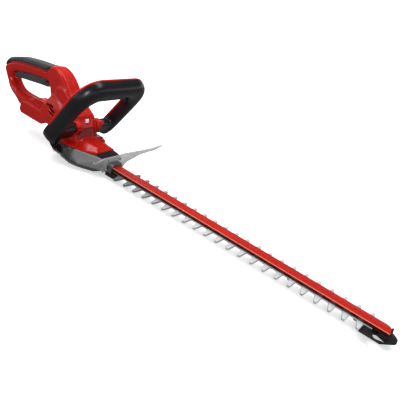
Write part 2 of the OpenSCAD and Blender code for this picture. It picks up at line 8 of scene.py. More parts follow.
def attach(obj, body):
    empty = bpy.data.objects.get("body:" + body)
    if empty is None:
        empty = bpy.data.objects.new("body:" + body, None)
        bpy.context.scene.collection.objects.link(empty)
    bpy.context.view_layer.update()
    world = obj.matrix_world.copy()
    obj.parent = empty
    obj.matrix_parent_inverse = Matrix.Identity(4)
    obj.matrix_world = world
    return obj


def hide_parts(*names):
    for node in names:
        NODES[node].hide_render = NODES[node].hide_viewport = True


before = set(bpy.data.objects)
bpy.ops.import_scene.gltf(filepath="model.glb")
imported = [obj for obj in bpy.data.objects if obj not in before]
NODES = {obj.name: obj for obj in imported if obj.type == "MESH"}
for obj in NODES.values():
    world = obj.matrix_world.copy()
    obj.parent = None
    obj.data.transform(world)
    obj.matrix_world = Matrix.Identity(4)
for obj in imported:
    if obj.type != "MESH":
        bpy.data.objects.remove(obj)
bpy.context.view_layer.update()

OX, OZ = -102.5, 18.0          # design frame to row frame, in mm
scene = bpy.context.scene


# ---------------------------------------------------------------- camera
def put_camera():
    data = bpy.data.cameras.new("view_camera")
    data.sensor_width = 36.0
    data.sensor_fit = "HORIZONTAL"
    data.lens = 40.43
    data.clip_start, data.clip_end = 0.05, 200.0
    cam = bpy.data.objects.new("view_camera", data)
    scene.collection.objects.link(cam)
    right = Vector((0.8013, 0.5291, 0.2792)).normalized()
    back = Vector((0.3781, -0.8096, 0.4489)).normalized()
    up = back.cross(right).normalized()
    right = up.cross(back)
    m = Matrix((right, up, back)).transposed().to_4x4()
    m.translation = Vector((0.3984, -0.6858, 0.4390))
    cam.matrix_world = m
    scene.camera = cam


put_camera()


# ---------------------------------------------------------------- materials
def new_mat(name):
    m = bpy.data.materials.new(name)
    m.use_nodes = True
    nt = m.node_tree
    return m, nt, nt.nodes, nt.links, nt.nodes["Principled BSDF"]


def mixrgb(nodes, links, fac, a, b):
    n = nodes.new("ShaderNodeMix")
    n.data_type = "RGBA"
    if isinstance(fac, (int, float)):
        n.inputs[0].default_value = fac
    else:
        links.new(fac, n.inputs[0])
    for sock, v in ((n.inputs[6], a), (n.inputs[7], b)):
        if isinstance(v, (tuple, list)):
            sock.default_value = (*v[:3], 1)
        else:
            links.new(v, sock)
    return n.outputs[2]


def maprange(nodes, links, src, lo, hi, a, b):
    n = nodes.new("ShaderNodeMapRange")
    n.inputs[1].default_value, n.inputs[2].default_value = lo, hi
    n.inputs[3].default_value, n.inputs[4].default_value = a, b
    links.new(src, n.inputs[0])
    return n.outputs[0]


def noise(nodes, links, coord, scale, detail=3.0, rough=0.55):
    n = nodes.new("ShaderNodeTexNoise")
    n.inputs["Scale"].default_value = scale
    n.inputs["Detail"].default_value = detail
    n.inputs["Roughness"].default_value = rough
    links.new(coord, n.inputs["Vector"])
    return n.outputs["Fac"]


def moulded(name, light, dark, rough=(0.25, 0.35), grain=1400, bump=0.00004, coat=0.0, coat_rough=0.08,
            spec=0.5, wear=0.0, wear_col=(0.5, 0.5, 0.5), cloud=22, sheen=0.0, painted_side_shade=None, facet_painted_light=None, painted_edge_highlight=None, recess_painted_shade=None):
    """moulded plastic: slow colour drift, fine spark-eroded grain, a little rub on the edges; optional painted shade
    on side faces, painted highlight on edge bevels, painted shade in the neck recess and painted light on facets by
    their direction
    """
    m, nt, nodes, links, p = new_mat(name)
    tc = nodes.new("ShaderNodeTexCoord").outputs["Object"]
    slow = noise(nodes, links, tc, cloud, 4.0)
    fine = noise(nodes, links, tc, grain, 2.0)
    smear = noise(nodes, links, tc, 160, 5.0, 0.65)
    col = mixrgb(nodes, links, maprange(nodes, links, slow, 0.35, 0.65, 0.0, 1.0), dark, light)
    if wear:
        geo = nodes.new("ShaderNodeNewGeometry")
        edge = maprange(nodes, links, geo.outputs["Pointiness"], 0.53, 0.60, 0.0, wear)
        mul = nodes.new("ShaderNodeMath")
        mul.operation = "MULTIPLY"
        links.new(edge, mul.inputs[0])
        links.new(maprange(nodes, links, smear, 0.4, 0.6, 0.3, 1.0), mul.inputs[1])
        col = mixrgb(nodes, links, mul.outputs[0], col, wear_col)
    if painted_side_shade:
        # painted shade: faces turned sideways and downward are darkened in colour
        nrm = nodes.new("ShaderNodeNewGeometry")
        up = nodes.new("ShaderNodeSeparateXYZ")
        links.new(nrm.outputs["Normal"], up.inputs[0])
        col = mixrgb(nodes, links, maprange(nodes, links, up.outputs[2], 0.05, 0.55, 0.0, 1.0), painted_side_shade, col)
    if recess_painted_shade:
        # painted shade: the recessed front of the neck is darkened in colour, standing in for its shadow
        nrm = nodes.new("ShaderNodeNewGeometry")
        side = nodes.new("ShaderNodeSeparateXYZ")
        links.new(nrm.outputs["Normal"], side.inputs[0])
        place = nodes.new("ShaderNodeSeparateXYZ")
        links.new(tc, place.inputs[0])
        fac = maprange(nodes, links, side.outputs[0], 0.6, 0.85, 0.0, 0.85)
        for src, lo, hi, a, b in ((place.outputs[2], 0.0725, 0.0745, 1.0, 0.0), (place.outputs[2], 0.051, 0.055, 0.0, 1.0), (place.outputs[0], -0.240, -0.232, 0.0, 1.0)):
            mul = nodes.new("ShaderNodeMath")
            mul.operation = "MULTIPLY"
            links.new(fac, mul.inputs[0])
            links.new(maprange(nodes, links, src, lo, hi, a, b), mul.inputs[1])
            fac = mul.outputs[0]
        col = mixrgb(nodes, links, fac, col, recess_painted_shade)
    if painted_edge_highlight:
        # painted highlight: bevel faces slanted between side and top are lightened in colour
        rise = maprange(nodes, links, up.outputs[2], 0.35, 0.6, 0.0, 0.9)
        fall = maprange(nodes, links, up.outputs[2], 0.72, 0.93, 1.0, 0.0)
        mul = nodes.new("ShaderNodeMath")
        mul.operation = "MULTIPLY"
        links.new(rise, mul.inputs[0])
        links.new(fall, mul.inputs[1])
        col = mixrgb(nodes, links, mul.outputs[0], col, painted_edge_highlight)
    if facet_painted_light:
        # painted light: facets facing forward and up are lightened and the others darkened; the lightening is mostly
        # cut off at the rear end
        nrm = nodes.new("ShaderNodeNewGeometry")
        dot = nodes.new("ShaderNodeVectorMath")
        dot.operation = "DOT_PRODUCT"
        dot.inputs[1].default_value = (0.9, 0.0, 0.42)
        links.new(nrm.outputs["Normal"], dot.inputs[0])
        place = nodes.new("ShaderNodeSeparateXYZ")
        links.new(tc, place.inputs[0])
        facet_light_fac = nodes.new("ShaderNodeMath")
        facet_light_fac.operation = "MULTIPLY"
        links.new(maprange(nodes, links, dot.outputs["Value"], 0.16, 0.60, 0.0, 1.0), facet_light_fac.inputs[0])
        links.new(maprange(nodes, links, place.outputs[0], -0.212, -0.206, 0.10, 1.0), facet_light_fac.inputs[1])
        col = mixrgb(nodes, links, facet_light_fac.outputs[0], facet_painted_light[0], facet_painted_light[1])
    links.new(col, p.inputs["Base Color"])
    links.new(maprange(nodes, links, smear, 0.3, 0.7, rough[0], rough[1]), p.inputs["Roughness"])
    b = nodes.new("ShaderNodeBump")
    b.inputs["Strength"].default_value = 0.5
    b.inputs["Distance"].default_value = bump
    links.new(fine, b.inputs["Height"])
    links.new(b.outputs[0], p.inputs["Normal"])
    p.inputs["Coat Weight"].default_value = coat
    p.inputs["Coat Roughness"].default_value = coat_rough
    p.inputs["Specular IOR Level"].default_value = spec
    p.inputs["Sheen Weight"].default_value = sheen
    return m


def metal(name, light, dark, rough=(0.2, 0.38), stretch=(1, 30, 30), scale=60, bump=0.00002, metallic=1.0, stain=0.25, stain_col=(0.12, 0.11, 0.1), along=None):
    """ground or drawn steel: long fine scratches and faint oil stains"""
    m, nt, nodes, links, p = new_mat(name)
    tc = nodes.new("ShaderNodeTexCoord").outputs["Object"]
    mp = nodes.new("ShaderNodeMapping")
    mp.inputs["Scale"].default_value = stretch
    links.new(tc, mp.inputs["Vector"])
    lines = noise(nodes, links, mp.outputs[0], scale, 4.0, 0.7)
    spots = noise(nodes, links, tc, 90, 5.0, 0.6)
    col = mixrgb(nodes, links, maprange(nodes, links, lines, 0.35, 0.65, 0.0, 1.0), dark, light)
    col = mixrgb(nodes, links, maprange(nodes, links, spots, 0.55, 0.75, 0.0, stain), col, stain_col)
    if along:
        # the colour darkens towards low X, the body end of the blade
        sp = nodes.new("ShaderNodeSeparateXYZ")
        links.new(tc, sp.inputs[0])
        col = mixrgb(nodes, links, maprange(nodes, links, sp.outputs[0], along[0], along[1], 0.0, 1.0), along[2], col)
    links.new(col, p.inputs["Base Color"])
    links.new(maprange(nodes, links, lines, 0.3, 0.7, rough[0], rough[1]), p.inputs["Roughness"])
    b = nodes.new("ShaderNodeBump")
    b.inputs["Strength"].default_value = 0.4
    b.inputs["Distance"].default_value = bump
    links.new(lines, b.inputs["Height"])
    links.new(b.outputs[0], p.inputs["Normal"])
    p.inputs["Metallic"].default_value = metallic
    return m


# red housing: painted shade in the neck recess
RED = moulded("red_gloss_plastic", (0.50, 0.009, 0.005), (0.44, 0.007, 0.004), rough=(0.20, 0.27), coat=0.05, coat_rough=0.08, grain=1600, bump=0.000012, spec=0.32, recess_painted_shade=(0.11, 0.003, 0.002))
# red cover: painted highlight on its edge bevels
# red cover: painted shade on its side faces
RED_BAR = moulded("red_lacquered_cover", (0.40, 0.010, 0.005), (0.36, 0.008, 0.004), rough=(0.24, 0.32), coat=0.05, coat_rough=0.12, grain=900, bump=0.000015, spec=0.3, painted_side_shade=(0.05, 0.002, 0.001), painted_edge_highlight=(0.85, 0.20, 0.14))
SOFT = moulded("soft_grip_rubber", (0.022, 0.022, 0.024), (0.014, 0.014, 0.016), rough=(0.48, 0.6), grain=1100, bump=0.00009, spec=0.4, sheen=0.12)
HOOP = moulded("black_handle_plastic", (0.010, 0.010, 0.012), (0.007, 0.007, 0.009), rough=(0.26, 0.32), grain=1300, bump=0.00002, spec=0.4)
BLACK = moulded("black_plastic", (0.012, 0.012, 0.013), (0.008, 0.008, 0.009), rough=(0.4, 0.5), grain=1200, bump=0.00005, wear=0.25, wear_col=(0.05, 0.05, 0.055), spec=0.22)
TRIG = moulded("grey_trigger_plastic", (0.050, 0.051, 0.056), (0.036, 0.037, 0.041), rough=(0.36, 0.46), grain=1200, bump=0.00006, wear=0.3, wear_col=(0.12, 0.12, 0.13))
# grey cover: painted light and shade on its facets by their direction
COVER = moulded("grey_gloss_cover", (0.090, 0.090, 0.094), (0.070, 0.070, 0.074), rough=(0.24, 0.30), coat=0.2, coat_rough=0.08, grain=1400, bump=0.00001, facet_painted_light=((0.026, 0.026, 0.028), (0.30, 0.30, 0.305)))
STEEL = metal("ground_steel", (0.62, 0.63, 0.65), (0.42, 0.43, 0.45))
BLADE = metal("blade_steel", (0.66, 0.68, 0.69), (0.50, 0.52, 0.53), rough=(0.3, 0.42), metallic=0.35, along=(-0.14, 0.08, (0.07, 0.07, 0.075)))
BRACKET = metal("bracket_steel", (0.36, 0.35, 0.35), (0.20, 0.20, 0.20), rough=(0.25, 0.4))
BRIGHT = metal("bright_steel", (0.78, 0.79, 0.80), (0.62, 0.63, 0.65), rough=(0.12, 0.25), stretch=(20, 1, 20))
SCREW = metal("zinc_screw", (0.50, 0.50, 0.52), (0.32, 0.32, 0.34), rough=(0.3, 0.45), stretch=(20, 20, 20), scale=40)
CAST = metal("cast_alloy", (0.55, 0.56, 0.58), (0.42, 0.43, 0.45), rough=(0.45, 0.6), stretch=(3, 3, 3), scale=300, bump=0.0001)
BRONZE = metal("sintered_bronze", (0.60, 0.42, 0.20), (0.45, 0.30, 0.14), rough=(0.4, 0.55), stretch=(4, 4, 4), scale=200)
MAGNET = moulded("ferrite", (0.07, 0.07, 0.075), (0.04, 0.04, 0.045), rough=(0.5, 0.65), grain=900)
WIRE = moulded("wire_insulation", (0.45, 0.02, 0.02), (0.33, 0.015, 0.015), rough=(0.35, 0.5), grain=700)
BADGE = moulded("blank_badge", (0.95, 0.95, 0.94), (0.92, 0.92, 0.91), rough=(0.25, 0.35), grain=900, bump=0.00001)
TIP = moulded("tip_plastic", (0.013, 0.013, 0.014), (0.009, 0.009, 0.010), rough=(0.36, 0.46), grain=1000, bump=0.00006, wear=0.3, wear_col=(0.05, 0.05, 0.055), spec=0.25)


def smoke_mat():
    """smoky clear guard: tinted, half see-through, bright where the edge catches light"""
    m, nt, nodes, links, p = new_mat("smoky_clear_guard")
    tc = nodes.new("ShaderNodeTexCoord").outputs["Object"]
    slow = noise(nodes, links, tc, 35, 3.0)
    fine = noise(nodes, links, tc, 500, 3.0)
    col = mixrgb(nodes, links, maprange(nodes, links, slow, 0.35, 0.65, 0.0, 1.0), (0.46, 0.47, 0.49), (0.56, 0.57, 0.59))
    links.new(col, p.inputs["Base Color"])
    links.new(maprange(nodes, links, fine, 0.3, 0.7, 0.10, 0.20), p.inputs["Roughness"])
    b = nodes.new("ShaderNodeBump")
    b.inputs["Strength"].default_value = 0.2
    b.inputs["Distance"].default_value = 0.00003
    links.new(fine, b.inputs["Height"])
    links.new(b.outputs[0], p.inputs["Normal"])
    p.inputs["Alpha"].default_value = 0.66
    p.inputs["Coat Weight"].default_value = 0.5
    p.inputs["Coat Roughness"].default_value = 0.05
    return m


SMOKE = smoke_mat()

SLOT_OF = {"red_gloss_plastic": "red", "soft_grip_rubber": "soft_black", "black_handle_plastic": "black_gloss"}
CAD_MAT = {
    "housing_screws": BLACK, "badge_plate": BADGE, "trigger_pin": BLACK, "trigger_spring": SCREW, "rear_microswitch": BLACK,
    "battery_terminals": BLACK, "wiring": WIRE, "motor_can": CAST, "motor_magnets": MAGNET, "motor_bushings": BRONZE,
    "motor_rotor": STEEL, "motor_pinion": STEEL, "gear_housing": CAST, "gearbox_lid": CAST, "gearbox_screws": SCREW,
    "drive_gear": STEEL, "gear_bearings": BRIGHT, "lower_cover_screws": SCREW, "guard_screws": BRIGHT, "hoop_screws": SCREW,
    "front_bar_springs": SCREW, "front_microswitch": BLACK, "guide_bolts": SCREW, "guide_washers": BRIGHT, "tip_screw": SCREW,
    "housing_right": RED, "housing_left": RED, "rear_grip": SOFT, "trigger": TRIG, "lower_cover": COVER, "nose_cover": BLACK,
    "blade_clamp": BLACK, "bar_bracket": BRACKET, "hand_guard": SMOKE, "hoop_front": HOOP, "hoop_back": RED,
    "front_switch_bar": TRIG, "upper_blade": BLADE, "lower_blade": BLADE, "blade_cover": RED_BAR, "tip_protector": TIP,
}
for name, ob in NODES.items():
    mat = CAD_MAT.get(name, BLACK)
    if not ob.material_slots:
        ob.data.materials.append(mat)
    for sl in ob.material_slots:
        sl.material = mat


# ---------------------------------------------------------------- distance-field modelling
class Field:
    def __init__(self, lo, hi, h):
        self.lo = np.array(lo, float)
        self.h = h
        ax = [np.arange(lo[i], hi[i] + h, h).astype(np.float32) for i in range(3)]
        self.X, self.Y, self.Z = ax[0][:, None, None], ax[1][None, :, None], ax[2][None, None, :]


def poly2(u, v, pts):
    """signed distance to a closed polygon"""
    p = np.asarray(pts, np.float32)
    u, v = np.broadcast_arrays(u, v)
    d = np.full(u.shape, 1e12, np.float32)
    s = np.zeros(u.shape, bool)
    for i in range(len(p)):
        a, b = p[i], p[i - 1]
        e = b - a
        wx, wy = u - a[0], v - a[1]
        t = np.clip((wx * e[0] + wy * e[1]) / max(float(e @ e), 1e-9), 0, 1)
        d = np.minimum(d, (wx - e[0] * t) ** 2 + (wy - e[1] * t) ** 2)
        c1, c2, c3 = v >= a[1], v < b[1], e[0] * wy > e[1] * wx
        s ^= (c1 & c2 & c3) | (~c1 & ~c2 & ~c3)
    d = np.sqrt(d)
    return np.where(s, -d, d)


def chaikin(pts, n=2):
    p = [tuple(q) for q in pts]
    for _ in range(n):
        out = []
        for i in range(len(p)):
            a, b = p[i], p[(i + 1) % len(p)]
            if a == b:
                out.append(a)
                continue
            out.append((0.75 * a[0] + 0.25 * b[0], 0.75 * a[1] + 0.25 * b[1]))
            out.append((0.25 * a[0] + 0.75 * b[0], 0.25 * a[1] + 0.75 * b[1]))
        p = out
    return p


def rint(a, b, r):
    """rounded intersection"""
    u, v = np.maximum(a + r, 0), np.maximum(b + r, 0)
    return np.minimum(np.maximum(a, b), -r) + np.sqrt(u * u + v * v)


def smin(a, b, k):
    h = np.clip(0.5 + 0.5 * (b - a) / k, 0, 1)
    return b + (a - b) * h - k * h * (1 - h)


def cut(a, b, r=0.4):
    """a without b, with a small rounded lip"""
    return rint(a, -b, r)


def bx(f, lo, hi):
    """box as three slabs, sharp"""
    return np.maximum(np.maximum(np.abs(f.X - (lo[0] + hi[0]) / 2) - (hi[0] - lo[0]) / 2,
                                 np.abs(f.Y - (lo[1] + hi[1]) / 2) - (hi[1] - lo[1]) / 2),
                      np.abs(f.Z - (lo[2] + hi[2]) / 2) - (hi[2] - lo[2]) / 2)


def nets(D, lo, h):
    """surface nets: one vertex in each cell the surface crosses, at the mean of its edge crossings"""
    D = np.ascontiguousarray(D, np.float32)
    ins = D < 0
    cs = [n - 1 for n in D.shape]
    N = cs[0] * cs[1] * cs[2]
    st = (cs[1] * cs[2], cs[2], 1)
    cnt = np.zeros(N)
    acc = np.zeros((3, N))
    faces = []
    for ax in range(3):
        s0, s1 = [slice(None)] * 3, [slice(None)] * 3
        s0[ax], s1[ax] = slice(0, -1), slice(1, None)
        s0, s1 = tuple(s0), tuple(s1)
        idx = np.argwhere(ins[s0] != ins[s1])
        u, v = (ax + 1) % 3, (ax + 2) % 3
        ok = (idx[:, u] > 0) & (idx[:, u] < D.shape[u] - 1) & (idx[:, v] > 0) & (idx[:, v] < D.shape[v] - 1)
        idx = idx[ok]
        a, b = D[s0][tuple(idx.T)], D[s1][tuple(idx.T)]
        pos = idx.astype(float)
        pos[:, ax] += a / (a - b)
        base = idx[:, 0] * st[0] + idx[:, 1] * st[1] + idx[:, 2] * st[2]
        cells = [base, base - st[u], base - st[u] - st[v], base - st[v]]
        for c in cells:
            cnt += np.bincount(c, minlength=N)
            for k in range(3):
                acc[k] += np.bincount(c, weights=pos[:, k], minlength=N)
        q = np.stack(cells, 1)
        flip = ~(a < 0)
        q[flip] = q[flip][:, ::-1]
        faces.append(q)
    used = np.flatnonzero(cnt)
    idm = np.full(N, -1, np.int64)
    idm[used] = np.arange(len(used))
    verts = (acc[:, used] / cnt[used]).T * h + np.asarray(lo)
    return verts, idm[np.concatenate(faces)]


def mesh_from(name, verts_mm, quads, mat, smooth=True, to_row=True):
    v = np.asarray(verts_mm, float).copy()
    if to_row:
        v[:, 0] += OX
        v[:, 2] += OZ
    v /= 1000.0
    me = bpy.data.meshes.new(name)
    me.vertices.add(len(v))
    me.vertices.foreach_set("co", v.ravel())
    me.loops.add(quads.size)
    me.loops.foreach_set("vertex_index", quads.ravel().astype(np.int32))
    me.polygons.add(len(quads))
    me.polygons.foreach_set("loop_start", np.arange(0, quads.size, 4, dtype=np.int32))
    me.update(calc_edges=True)
    me.validate()
    if smooth:
        me.shade_smooth()
    me.materials.append(mat)
    ob = bpy.data.objects.new(name, me)
    scene.collection.objects.link(ob)
    return ob


def hull_planes(points):
    bm = bmesh.new()
    for p in points:
        bm.verts.new(p)
    bmesh.ops.convex_hull(bm, input=bm.verts)
    bm.normal_update()
    c = sum((Vector(p) for p in points), Vector()) / len(points)
    out = []
    for f in bm.faces:
        n, q = f.normal.copy(), f.calc_center_median()
        if f.calc_area() < 1e-3:
            continue
        if n.dot(q - c) < 0:
            n = -n
        d = n.dot(q)
        if not any((n - m).length < 0.02 and abs(d - e) < 0.3 for m, e in out):
            out.append((n, d))
    bm.free()
    return out


def hull_field(f, points, r):
    acc = None
    for n, d in hull_planes(points):
        g = n.x * f.X + n.y * f.Y + n.z * f.Z - d
        acc = g if acc is None else rint(acc, g, r)
    return acc


def both(p):
    return list(p) + [(q[0], -q[1]) for q in reversed(p)]


# ---------------------------------------------------------------- rear housing and its grip
GRIP_TOP = [(-382, 99), (-382, 107), (-377, 116), (-367, 124.5), (-338, 134), (-322, 137), (-290, 142), (-258, 145.3), (-243, 147.6), (-236, 149)]
GRIP_LOW = [(-243.2, 133.6), (-268, 130.6), (-299, 127.2), (-332, 122.4), (-348, 118.4), (-367.1, 111.8), (-379.2, 101.4)]
OPEN = [(-359, 80), (-356, 90), (-350, 96), (-330, 101.5), (-298, 107.5), (-262, 111.5), (-240, 112), (-233, 106), (-227, 88), (-227, 70), (-238, 62), (-290, 58), (-332, 58), (-350, 68)]
FRAME = [(-381, 97), (-379, 101), (-367, 111.5), (-348, 119), (-332, 123.5), (-299, 129), (-268, 133), (-243, 136.5), (-236, 149), (-228, 151), (-215, 149.5), (-202, 144), (-191, 136), (-180, 125), (-168, 110), (-156, 97), (-141, 86), (-129, 79), (-122, 58), (-116, 30), (-116, 22), (-180, 22), (-192, 31), (-212, 31), (-232, 21), (-300, 21), (-306, 24), (-321, 31), (-334, 42), (-352, 51), (-361, 60), (-368, 73), (-377, 88)]
CORE = [(-374, 104), (-364, 117), (-338, 126), (-290, 134.5), (-245, 141), (-240, 130), (-268, 129.5), (-348, 112)]
BODY = [(-238, 58), (-238, 44), (-212, 31), (-192, 31), (-180, 22), (-118, 22), (-118, 34), (-124, 50), (-160, 70), (-190, 90), (-214, 98), (-226, 84)]
NECK = [(-117, 30), (-122, 58), (-128, 78), (-141, 85.5), (-156, 96.5), (-172, 113), (-205, 122), (-212, 90), (-205, 22), (-116, 22)]
HUMP = [(-226, 84), (-236, 112), (-241, 136), (-235.5, 148.6), (-228, 150.5), (-215, 149), (-202, 143.5), (-191, 135.5), (-180, 124.5), (-168, 109.5), (-160, 100), (-160, 70), (-214, 80)]
CHAMF = [(-34, -40), (34, -40), (34, 60), (22, 96), (20, 132), (11, 156), (-11, 156), (-20, 132), (-22, 96), (-34, 60)]
DECK = both([(-190, -33), (-160, -42), (-132, -50), (-118, -50), (-92, -38.5), (-62.5, -25.5)])
SCREWS = [(-345, 56), (-222, 144), (-316, 46)]


def tilted(f, cx, cz, deg):
    """X and Z seen in a frame turned about Y"""
    c, s = math.cos(math.radians(deg)), math.sin(math.radians(deg))
    x, z = f.X - cx, f.Z - cz
    return x * c - z * s, x * s + z * c


def housing_field(f):
    X, Y, Z = f.X, f.Y, f.Z
    ay = np.abs(Y)
    frame2 = poly2(X, Z, chaikin(FRAME))
    open2 = poly2(X, Z, chaikin(OPEN))
    grip2 = poly2(X, Z, GRIP_TOP + GRIP_LOW)
    prof = poly2(ay, Z, chaikin(CHAMF, 3))
    # hand loop: fat rounded section
    loop = rint(rint(np.minimum(frame2, grip2), ay - 18.0, 4.5), -open2, 12.0)
    red = np.maximum(loop, -(grip2 - 0.35))
    core = rint(poly2(X, Z, CORE), ay - 14.4, 2.0)
    red = np.minimum(red, core)
    # column, neck and motor hump
    body = rint(rint(poly2(X, Z, chaikin(BODY)), ay - 34.0, 6.0), prof, 6.0)
    neck = rint(rint(poly2(X, Z, chaikin(NECK, 1)), ay - 24.0, 5.0), prof, 5.0)
    hump = rint(poly2(X, Z, chaikin(HUMP)), ay - 21.0, 12.0)
    hump = rint(hump, prof, 5.0)
    d = smin(body, neck, 4.0)
    d = smin(d, hump, 5.0)
    d = smin(red, np.maximum(d, -(grip2 - 0.35)), 3.0)
    # faceted deck
    deck = np.maximum(poly2(X, Y, DECK), -1e9)
    runp = poly2(Y, Z, [(-60, 18), (60, 18), (60, 24), (24, 31), (14, 34), (-14, 34), (-24, 31), (-60, 24)])
    side = poly2(X, Z, [(-200, 18), (-200, 60), (-130, 60), (-62, 28.5), (-62, 18)])
    deck = rint(rint(deck, runp, 0.9), side, 0.9)
    slope = np.maximum(0.9 * (35.2 - (0.024 * X + 0.424 * ay + 0.905 * Z)), -121 + 0.7 * (ay - 22) - X)
    deck = cut(deck, slope, 0.5)
    deck = np.maximum(deck, 22.0 - Z)
    d = smin(d, deck, 1.5)
    # battery foot
    foot = rint(poly2(X, Z, [(-304, 27), (-296, 21), (-232, 21), (-214, 31), (-208, 31), (-208, 50), (-282, 58), (-301, 50)]), ay - 31.0, 3.0)
    foot = rint(foot, poly2(Y, Z, [(-31, 20), (31, 20), (31, 48), (24, 62), (-24, 62), (-31, 48)]), 3.0)
    d = smin(d, foot, 3.0)
    # collars and round bosses for the hoop arms
    r1 = np.sqrt((X + 128) ** 2 + (Z - 58) ** 2) - 14.0
    d = smin(d, rint(r1, np.abs(ay - 28) - 6.0, 2.0), 2.5)
    r2 = np.sqrt((X + 117) ** 2 + (Z - 66) ** 2) - 4.8
    d = smin(d, rint(r2, np.abs(ay - 31) - 7.0, 1.8), 1.5)
    # recessed neck front under its rim
    rec = rint(poly2(X, Z, [(-124.6, 55.5), (-100, 55.5), (-100, 35), (-119.8, 35)]), ay - 14.5 - 0.0 * X, 1.5)
    d = cut(d, rec, 0.8)
    return d, grip2, core


def housing_rooms(f, right):
    X, Y, Z = f.X, f.Y, f.Z
    ay = np.abs(Y)
    rm = np.sqrt((X + 151) ** 2 + Y ** 2)
    out = [np.maximum(rm - 18.8, np.abs(Z - 46.5) - 32.5), np.maximum(rm - 6, np.abs(Z - 77) - 7)]
    out.append(np.maximum(poly2(X, Y, both([(-176, -24), (-150, -40), (-86, -32), (-76, -14)])), np.abs(Z - 19.5) - 5.5))
    out.append(np.maximum(poly2(X, Z, [(-219, 38), (-196, 38), (-180, 30), (-172, 30), (-172, 94), (-190, 116), (-206, 134), (-226, 134), (-228, 112), (-219, 96)]), ay - 15))
    out.append(np.maximum(poly2(X, Z, [(-232, 42), (-189, 42), (-189, 62), (-200, 70), (-219, 76)]), ay - 29.0))
    out.append(np.maximum(poly2(X, Z, [(-216, 58), (-192, 58), (-192, 74), (-200, 79), (-215, 79)]), ay - 24.5))
    out.append(np.maximum(poly2(X, Z, [(-357, 93), (-357, 107), (-345, 112), (-320, 117), (-290, 121), (-236, 128), (-222, 128), (-222, 98), (-240, 98), (-300, 92)]), ay - 10.2))
    out.append(bx(f, (-330, -24, 25), (-218, 24, 33)))
    out.append(bx(f, (-330, -20, 15), (-218, 20, 26)))
    out.append(bx(f, (-258, -16, 30), (-218, 16, 44)))
    for x, z in SCREWS:
        rr = np.sqrt((X - x) ** 2 + (Z - z) ** 2)
        out.append(np.maximum(rr - 1.8, np.abs(Y) - 13.5))
    bxx, bzz = tilted(f, -126, 70, -15.5)
    out.append(rint(rint(np.abs(bxx) - 2.2, np.abs(bzz) - 7.5, 0.3), ay - 8.5, 2.0))
    out.append(np.maximum(np.sqrt((X + 128) ** 2 + (Z - 58) ** 2) - 9.2, np.abs(ay - 43) - 13))
    out.append(np.maximum(np.sqrt((X + 141) ** 2 + (ay - 38) ** 2) - 1.95, np.abs(Z - 19) - 8))
    for vx0, vz0, half in ((-203, 57.5, 8.5), (-202, 65.5, 8.5), (-206, 73.5, 5.0)):
        dx, dz = X - vx0, Z - vz0
        vx, vz = dx * 0.956 - dz * 0.292, dx * 0.292 + dz * 0.956
        out.append(rint(rint(np.abs(vx) - half, np.abs(vz) - 1.9, 1.6), np.abs(ay - 31) - 8.5, 0.3))
    out.append(np.maximum(np.sqrt((X + 246) ** 2 + (Z - 112) ** 2) - 2.05, ay - 16))
    return out


def make_housing(side):
    right = side < 0
    f = Field((-387, -56 if right else -2, 13), (-57, 2 if right else 56, 157), 1.15)
    d, grip2, core = housing_field(f)
    for r in housing_rooms(f, right):
        d = cut(d, r, 0.35)
    d = rint(d, side * -1 * f.Y + 0.12, 0.55)
    v, q = nets(d, f.lo, f.h)
    name = "shell_right" if right else "shell_left"
    ob = mesh_from(name, v, q, RED)
    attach(ob, "body")
    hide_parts("housing_right" if right else "housing_left")
    return ob


make_housing(-1)
make_housing(1)


def make_grip():
    f = Field((-387, -24, 94), (-228, 24, 157), 1.0)
    X, Y, Z = f.X, f.Y, f.Z
    ay = np.abs(Y)
    frame2 = poly2(X, Z, chaikin(FRAME))
    grip2 = poly2(X, Z, GRIP_TOP + GRIP_LOW)
    d = rint(np.minimum(frame2, poly2(X, Z, chaikin(GRIP_TOP + GRIP_LOW, 1))) - 0.4, ay - 18.7, 10.0)
    d = rint(d, grip2, 0.8)
    d = np.maximum(d, -(rint(poly2(X, Z, CORE), ay - 14.4, 2.0) - 0.2))
    d = np.maximum(d, -np.maximum(ay - 14.8, poly2(X, Z, [(-376, 88), (-374.4, 104.3), (-364.2, 117.3), (-338, 126.3), (-290, 134.8), (-244.5, 141.4), (-236, 141.4), (-236, 88)])))
    v, q = nets(d, f.lo, f.h)
    ob = mesh_from("soft_grip", v, q, SOFT)
    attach(ob, "body")
    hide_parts("rear_grip")


make_grip()

# ---------------------------------------------------------------- front hoop
TILT = math.radians(32)
HN = np.array([math.cos(TILT), 0, -math.sin(TILT)])
HU = np.array([math.sin(TILT), 0, math.cos(TILT)])
HO = np.array([-145.5, 0, 61.0])


def arch(w, top, r, bot, n=28):
    p = [(-w, bot)]
    p += [(-w + r - r * math.cos(math.pi / 2 * i / n), top - r + r * math.sin(math.pi / 2 * i / n)) for i in range(n + 1)]
    p += [(w - r + r * math.cos(math.pi / 2 * i / n), top - r + r * math.sin(math.pi / 2 * i / n)) for i in range(n, -1, -1)]
    return p + [(w, bot)]


